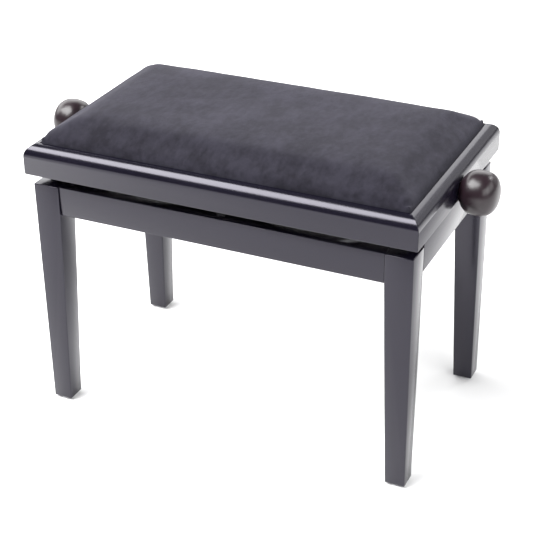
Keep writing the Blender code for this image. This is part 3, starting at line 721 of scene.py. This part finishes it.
def evened(mesh, travel, held):
    """The travel of each point, averaged again and again with its neighbours'; the held points stay."""
    pairs = np.array([edge.vertices for edge in mesh.edges])
    counts = 1 + np.bincount(pairs.reshape(-1), minlength=len(travel))
    for _ in range(EVENING_PASSES):
        total = travel.copy()
        np.add.at(total, pairs[:, 0], travel[pairs[:, 1]])
        np.add.at(total, pairs[:, 1], travel[pairs[:, 0]])
        travel = total / counts[:, None]
        travel[held] = 0
    return travel


def blow_up(piece, held):
    """Run cloth under pressure with the border held; each point's travel is then capped and evened."""
    before = places_of(piece.data)
    group = piece.vertex_groups.new(name="held")
    group.add(held, 1.0, "REPLACE")
    cloth = piece.modifiers.new("cloth", "CLOTH")
    settings = cloth.settings
    settings.vertex_group_mass = "held"
    settings.quality = 6
    settings.mass = 0.3
    settings.tension_stiffness = 60
    settings.compression_stiffness = 60
    settings.shear_stiffness = 20
    settings.bending_stiffness = 5
    settings.use_pressure = True
    settings.uniform_pressure_force = 3
    settings.effector_weights.gravity = 0
    scene = bpy.context.scene
    for step in range(1, CLOTH_FRAMES + 1):
        scene.frame_set(step)
    graph = bpy.context.evaluated_depsgraph_get()
    travel = places_of(piece.evaluated_get(graph).to_mesh()) - before
    piece.evaluated_get(graph).to_mesh_clear()
    piece.modifiers.remove(cloth)
    piece.vertex_groups.clear()
    lengths = np.linalg.norm(travel, axis=1, keepdims=True)
    travel *= np.minimum(1, TRAVEL_CAP / np.maximum(lengths, 1e-9))
    put_places(piece.data, before + evened(piece.data, travel, held))
    scene.frame_set(1)


def open_bottom(mesh):
    """Take the bottom face off, because a face with hundreds of corners is slow to subdivide."""
    bm = bmesh.new()
    bm.from_mesh(mesh)
    bottom = max(bm.faces, key=lambda face: len(face.verts))
    bmesh.ops.delete(bm, geom=[bottom], context="FACES_ONLY")
    bm.to_mesh(mesh)
    bm.free()


def close_bottom(mesh):
    """Fill the hole in the bottom."""
    bm = bmesh.new()
    bm.from_mesh(mesh)
    bmesh.ops.holes_fill(bm, edges=[edge for edge in bm.edges if edge.is_boundary])
    bm.to_mesh(mesh)
    bm.free()


def make_finer(piece):
    """Divide each face of the cushion once, smoothly."""
    open_bottom(piece.data)
    fine = piece.modifiers.new("fine", "SUBSURF")
    fine.levels = 1
    fine.render_levels = 1
    graph = bpy.context.evaluated_depsgraph_get()
    mesh = bpy.data.meshes.new_from_object(piece.evaluated_get(graph))
    piece.modifiers.clear()
    piece.data = mesh
    close_bottom(mesh)


def make_uneven(mesh):
    """Give the cushion's top the slight unevenness of a hand-covered seat."""
    rail_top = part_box("seat_rail_back")[1].z
    places = places_of(mesh)
    uneven = [UNEVEN_BROAD * noise.noise(Vector(spot) * UNEVEN_BROAD_SCALE)
              + UNEVEN_SMALL * noise.noise(Vector(spot) * UNEVEN_SMALL_SCALE) for spot in places]
    share = np.clip((places[:, 2] - rail_top - UNEVEN_START) / UNEVEN_FADE, 0, 1)
    places[:, 2] += share * np.array(uneven)
    put_places(mesh, places)


def make_cushion():
    """Velvet cushion, blown up over its pad."""
    bm, held = cushion_mesh()
    cushion = add_piece("cushion", bm, "velvet", "seat", "velvet_cover", "seat_foam")
    blow_up(cushion, held)
    make_finer(cushion)
    make_uneven(cushion.data)
    cushion.data.shade_smooth()
    cushion.data.set_sharp_from_angle(angle=CUSHION_SMOOTH_ANGLE)


# ---- Scissor lift ----

def make_lift():
    """Steel rails, arms, rivets and rods of the lift."""
    for side, _ in SIDES:
        for kind, body in (("lower_rail_", "base"), ("upper_rail_", "seat"), ("lower_arm_", "lower_arms"),
                           ("upper_arm_", "upper_arms")):
            refine(kind + side, "black", body, ease=EASE)
        make_stepped("centre_rivet_" + side, "lower_arms")
        make_stepped("upper_pivot_" + side, "seat")
    make_stepped("lower_pivot_rod", "base")
    make_stepped("lower_slide_rod", "upper_arms")
    make_crossbar()


def section_rows(node, axis_index):
    """Distances along an axis where a round CAD node changes, with the radius before and after each."""
    middle = node_middle(node)
    radii = {}
    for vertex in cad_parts[node].data.vertices:
        away = vertex.co - middle
        along_axis = round(away[axis_index], 5)
        away[axis_index] = 0
        radii.setdefault(along_axis, set()).add(round(away.length, 4))
    return middle, sorted((distance, sorted(found)) for distance, found in radii.items())


def stepped_profile(node, axis_index=1):
    """Profile of a solid stepped rod, read from its CAD node."""
    middle, rows = section_rows(node, axis_index)
    profile = [(0.0, rows[0][0])]
    last = 0.0
    for distance, found in rows:
        outer = [radius for radius in found if radius > 0.0001]
        ordered = sorted(outer, reverse=last > sum(outer) / len(outer))
        profile += [(radius, distance) for radius in ordered]
        last = profile[-1][0]
    profile.append((0.0, rows[-1][0]))
    return middle, profile


def make_stepped(node, body):
    """Rivet or rod along Y, whose thickness changes in steps."""
    middle, profile = stepped_profile(node)
    bm = bmesh.new()
    turned(bm, profile, middle, AXES["y"], ease=EASE)
    weld(bm)
    add_piece(node + "_fine", bm, "bright_y", body, node)


# ---- Spindle and knobs ----

def make_crossbar():
    """Round crossbar, bored for the spindle."""
    node = "drive_crossbar"
    middle = node_middle(node)
    size = node_size(node)
    end = size.y / 2
    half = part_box("upper_arm_back")[0].y - CROSSBAR_SHY
    radius = size.x / 2
    bm = bmesh.new()
    profile = ((0, -end), (PIN_RADIUS, -end), (PIN_RADIUS, -half), (radius, -half), (radius, half),
               (PIN_RADIUS, half), (PIN_RADIUS, end), (0, end))
    turned(bm, profile, middle, AXES["y"], ease=0.0005)
    weld(bm)
    cutter = bmesh.new()
    bore = node_size("spindle").z / 2 + GAP
    turned(cutter, ((bore, -BORE_REACH), (bore, BORE_REACH)), middle, AXES["x"], BORE_SIDES)
    add_piece(node + "_fine", cut(bm, cutter), "bright_y", "drive_nut", node)


def round_ring(distance, radius):
    """Points of a ring round the spindle's axis."""
    turns = [math.tau * i / THREAD_SIDES for i in range(THREAD_SIDES)]
    return [(distance, radius * math.cos(turn), SPINDLE_Z + radius * math.sin(turn)) for turn in turns]


def thread_ring(distance, radius, depth):
    """Points of a ring round the spindle's axis, cut in by a thread of a depth."""
    ring = []
    for i in range(THREAD_SIDES):
        turn = (distance / THREAD_PITCH - i / THREAD_SIDES) % 1
        flank = min(max((abs(turn - 0.5) - THREAD_ROOT) / THREAD_FLANK, 0), 1)
        reach = radius - depth * (1 - flank)
        angle = math.tau * i / THREAD_SIDES
        ring.append((distance, reach * math.cos(angle), SPINDLE_Z + reach * math.sin(angle)))
    return ring


def make_spindle():
    """Spindle with a trapezoidal thread where the crossbar runs, and plain round ends."""
    size = node_size("spindle")
    radius = size.z / 2
    end = size.x / 2
    rows = round((THREAD_END - THREAD_START) / THREAD_PITCH * THREAD_ROWS)
    rings = [round_ring(-end, radius - SPINDLE_CHAMFER), round_ring(-end + SPINDLE_CHAMFER, radius),
             round_ring(THREAD_START - THREAD_RUN_OUT, radius)]
    for row in range(rows + 1):
        fade = min(1, row / THREAD_ROWS, (rows - row) / THREAD_ROWS)
        distance = THREAD_START + (THREAD_END - THREAD_START) * row / rows
        rings.append(thread_ring(distance, radius, THREAD_DEPTH * fade))
    rings += [round_ring(THREAD_END + THREAD_RUN_OUT, radius), round_ring(end - SPINDLE_CHAMFER, radius),
              round_ring(end, radius - SPINDLE_CHAMFER)]
    bm = bmesh.new()
    loft(bm, rings)
    add_piece("spindle_fine", bm, "bright_x", "spindle", "spindle")


def make_collar(end):
    """Collar with its set screw's socket."""
    node = "shaft_collar_" + end
    middle = node_middle(node)
    size = node_size(node)
    inner = node_size("spindle").z / 2 + GAP
    outer = size.z / 2
    half = size.x / 2
    bm = bmesh.new()
    profile = ((inner, -half), (outer, -half), (outer, half), (inner, half))
    turned(bm, profile, middle, AXES["x"], looped=True, ease=0.0005)
    cutter = bmesh.new()
    socket = ((SET_SCREW_RADIUS, outer - SET_SCREW_DEPTH), (SET_SCREW_RADIUS, size.z))
    turned(cutter, socket, middle, (0, 0, -1), 6)
    add_piece(node + "_fine", cut(bm, cutter), "bright_x", "spindle", node)


def make_bush(end, sign):
    """Flanged nylon bush of the spindle."""
    node = "spindle_bush_" + end
    low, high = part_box(node)
    inner = node_size("spindle").z / 2 + GAP
    flange = (high.z - low.z) / 2
    body = bush_hole() - GAP
    inside = min(abs(low.x), abs(high.x))
    outside = max(abs(low.x), abs(high.x))
    step = inside + BUSH_FLANGE
    bm = bmesh.new()
    profile = ((inner, inside), (flange, inside), (flange, step), (body, step), (body, outside),
               (inner, outside))
    turned(bm, profile, (0, 0, SPINDLE_Z), (sign, 0, 0), looped=True, ease=EASE)
    add_piece(node + "_fine", bm, "nylon", "seat", node)


def make_spindle_fittings():
    """Collars and bushes at both ends of the spindle."""
    for end, sign in ENDS:
        make_collar(end)
        make_bush(end, sign)


def knob_profile():
    """Section of a knob as (radius, distance from the bench's middle): bore, neck and ball."""
    low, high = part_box("knob_right")
    radius = (high.z - low.z) / 2
    bore = node_size("spindle").z / 2 + GAP
    reach = high.x - KNOB_MIDDLE
    first = math.acos((KNOB_NECK_RADIUS / radius) ** (1 / KNOB_POWER))
    points = [(0, KNOB_BORE_END), (bore, KNOB_BORE_END), (bore, low.x), (KNOB_NECK_RADIUS - KNOB_LIP, low.x)]
    for i in range(KNOB_STEPS):
        angle = -first + (math.pi / 2 + first) * i / KNOB_STEPS
        distance = math.copysign(reach * abs(math.sin(angle)) ** KNOB_POWER, angle)
        points.append((radius * math.cos(angle) ** KNOB_POWER, KNOB_MIDDLE + distance))
    points.append((0, high.x))
    return points


def make_knob(end, sign, profile):
    """Satin turned knob, with the hole of the pin that holds it to the spindle."""
    node = "knob_" + end
    bm = bmesh.new()
    turned(bm, profile, (0, 0, SPINDLE_Z), (sign, 0, 0), KNOB_SIDES)
    weld(bm)
    pin = node_middle("knob_pin_" + end)
    size = node_size("knob_pin_" + end)
    hole = size.x / 2 + GAP
    top = pin.z + size.z / 2 + GAP
    cutter = bmesh.new()
    turned(cutter, ((hole, 0), (hole, PIN_HOLE_DEPTH)), (pin.x, 0, top), (0, 0, -1), SMALL_SIDES)
    add_piece(node + "_fine", cut(bm, cutter), "knob", "spindle", node)


def make_knob_pin(end):
    """Steel pin of a knob."""
    node = "knob_pin_" + end
    size = node_size(node)
    radius = size.x / 2
    half = size.z / 2
    bm = bmesh.new()
    turned(bm, ((0, -half), (radius, -half), (radius, half), (0, half)), node_middle(node), AXES["z"],
           SMALL_SIDES, ease=EASE)
    weld(bm)
    add_piece(node + "_fine", bm, "bright_x", "spindle", node)


def make_knobs():
    """Knobs and their pins at both ends of the spindle."""
    profile = knob_profile()
    for end, sign in ENDS:
        make_knob(end, sign, profile)
        make_knob_pin(end)


# ---- Screws ----

def screw_head():
    """Pan head with a cross recess: it stands on the origin and looks along +Z."""
    bm = bmesh.new()
    profile = ((0, 0), (SCREW_HEAD_RADIUS, 0), (SCREW_HEAD_RADIUS * 0.96, SCREW_HEAD_HEIGHT * 0.6),
               (SCREW_HEAD_RADIUS * 0.60, SCREW_HEAD_HEIGHT), (0, SCREW_HEAD_HEIGHT))
    turned(bm, profile, (0, 0, 0), AXES["z"], SMALL_SIDES, ease=0.0006)
    weld(bm)
    cutter = bmesh.new()
    wide = SCREW_HEAD_RADIUS * 0.55
    thin = SCREW_HEAD_RADIUS * 0.13
    outline = []
    for quarter in range(4):
        turn = Matrix.Rotation(math.pi / 2 * quarter, 2)
        outline += [turn @ Vector(point) for point in ((thin, thin), (thin, wide), (-thin, wide))]
    floor = SCREW_HEAD_HEIGHT * 0.35
    loft(cutter, [[(p.x * share, p.y * share, z) for p in outline]
                  for share, z in ((0.55, floor), (1.0, SCREW_HEAD_HEIGHT * 1.1))])
    return mesh_of("screw_head", cut(bm, cutter))


def add_screws(name, head, places, finish, body):
    """Add one piece that holds all the screws of a kind; places are (point, direction, turn in degrees)."""
    bm = bmesh.new()
    for place, direction, turn in places:
        axes = Vector(direction).to_track_quat("Z", "Y").to_matrix().to_4x4()
        spin = Matrix.Rotation(math.radians(turn), 4, "Z")
        one = bmesh.new()
        one.from_mesh(head)
        bmesh.ops.transform(one, matrix=Matrix.Translation(place) @ axes @ spin, verts=one.verts)
        mesh = mesh_of("screw", one)
        bm.from_mesh(mesh)
        bpy.data.meshes.remove(mesh)
    return add_piece(name, bm, finish, body)


def make_screws():
    """Pan-head screws in the steel rails, the brackets and the corner blocks."""
    head = screw_head()
    for kind, body, drop in (("lower", "base", (0, -SCREW_DROP, 0)), ("upper", "seat", (0, 0, 0))):
        places = []
        for side, sign in SIDES:
            node = kind + "_rail_" + side
            low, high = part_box(node)
            inner = min(abs(low.y), abs(high.y))
            level = PIVOT_Z if kind == "lower" else SPINDLE_Z
            for i, x in enumerate((low.x + SCREW_INSET, 0, high.x - SCREW_INSET)):
                places.append(((x, sign * inner, level + drop[i]), (0, -sign, 0), 37 * i + 11 * sign))
        add_screws(kind + "_rail_screws", head, places, "bright_x", body)
    places = []
    for corner, sign_x, sign_y in CORNERS:
        low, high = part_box("corner_bracket_" + corner)
        middle = node_middle("corner_bracket_" + corner)
        outer_x, inner_x = sorted((abs(low.x), abs(high.x)), reverse=True)
        outer_y, inner_y = sorted((abs(low.y), abs(high.y)), reverse=True)
        half = BRACKET_FLANGE / 2
        places.append(((sign_x * (inner_x + half), sign_y * (outer_y - BRACKET_THICKNESS), middle.z),
                       (0, -sign_y, 0), 20 * sign_x))
        places.append(((sign_x * (outer_x - BRACKET_THICKNESS), sign_y * (inner_y + half), middle.z),
                       (-sign_x, 0, 0), 50 * sign_y))
    add_screws("bracket_screws", head, places, "bright_x", "base")
    places = []
    for corner, sign_x, sign_y in CORNERS:
        low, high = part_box("corner_block_" + corner)
        third = (high.x - low.x) / 3
        x = sign_x * (max(abs(low.x), abs(high.x)) - third)
        y = sign_y * (max(abs(low.y), abs(high.y)) - third)
        places.append(((x, y, low.z), (0, 0, -1), 25 * sign_x * sign_y))
    add_screws("board_screws", head, places, "black", "seat")


# ---- Studio ----

def make_floor():
    """Plain pale floor."""
    bm = bmesh.new()
    bmesh.ops.create_grid(bm, x_segments=1, y_segments=1, size=FLOOR_HALF)
    mesh = mesh_of("floor", bm)
    floor = bpy.data.objects.new("floor", mesh)
    bpy.context.collection.objects.link(floor)
    finish = Finish("pale_floor", roughness=0.9, specular_ior_level=0.1)
    finish.colour(finish.mix(finish.noise(3.0), *FLOOR_TONES))
    mesh.materials.append(finish.material)


def softbox(name, azimuth, elevation, distance, size, radiance):
    """A rectangular soft light that looks at the bench."""
    around = math.radians(azimuth)
    above = math.radians(elevation)
    way = Vector((math.sin(around) * math.cos(above), -math.cos(around) * math.cos(above), math.sin(above)))
    light = bpy.data.lights.new(name, "AREA")
    light.shape = "RECTANGLE"
    light.size, light.size_y = size
    light.energy = radiance * math.pi * size[0] * size[1]
    lamp = bpy.data.objects.new(name, light)
    lamp.location = LIGHT_TARGET + way * distance
    lamp.rotation_mode = "QUATERNION"
    lamp.rotation_quaternion = way.to_track_quat("Z", "Y")
    lamp.visible_camera = False
    bpy.context.collection.objects.link(lamp)


def make_studio():
    """Floor, soft lights and a dim surround."""
    make_floor()
    for light in LIGHTS:
        softbox(*light)
    world = bpy.data.worlds.new("surround")
    world.use_nodes = True
    background = world.node_tree.nodes["Background"]
    background.inputs["Color"].default_value = SURROUND_COLOUR
    background.inputs["Strength"].default_value = SURROUND_STRENGTH
    bpy.context.scene.world = world
    bpy.context.scene.view_settings.view_transform = "Standard"


def make_camera():
    """Camera at the height of a standing person, to the right of the bench."""
    data = bpy.data.cameras.new("camera")
    data.lens = CAMERA_LENS
    camera = bpy.data.objects.new("camera", data)
    turn = Matrix.Rotation(CAMERA_YAW, 3, "Z") @ Matrix.Rotation(math.pi / 2 - CAMERA_PITCH, 3, "X")
    turn = turn @ Matrix.Rotation(CAMERA_ROLL, 3, "Z")
    camera.matrix_world = Matrix.Translation(CAMERA_PLACE) @ turn.to_4x4()
    bpy.context.collection.objects.link(camera)
    bpy.context.scene.camera = camera


make_camera()
make_studio()
make_base()
make_seat_rails()
make_seat_frame()
make_cushion()
make_lift()
make_spindle()
make_spindle_fittings()
make_knobs()
make_screws()
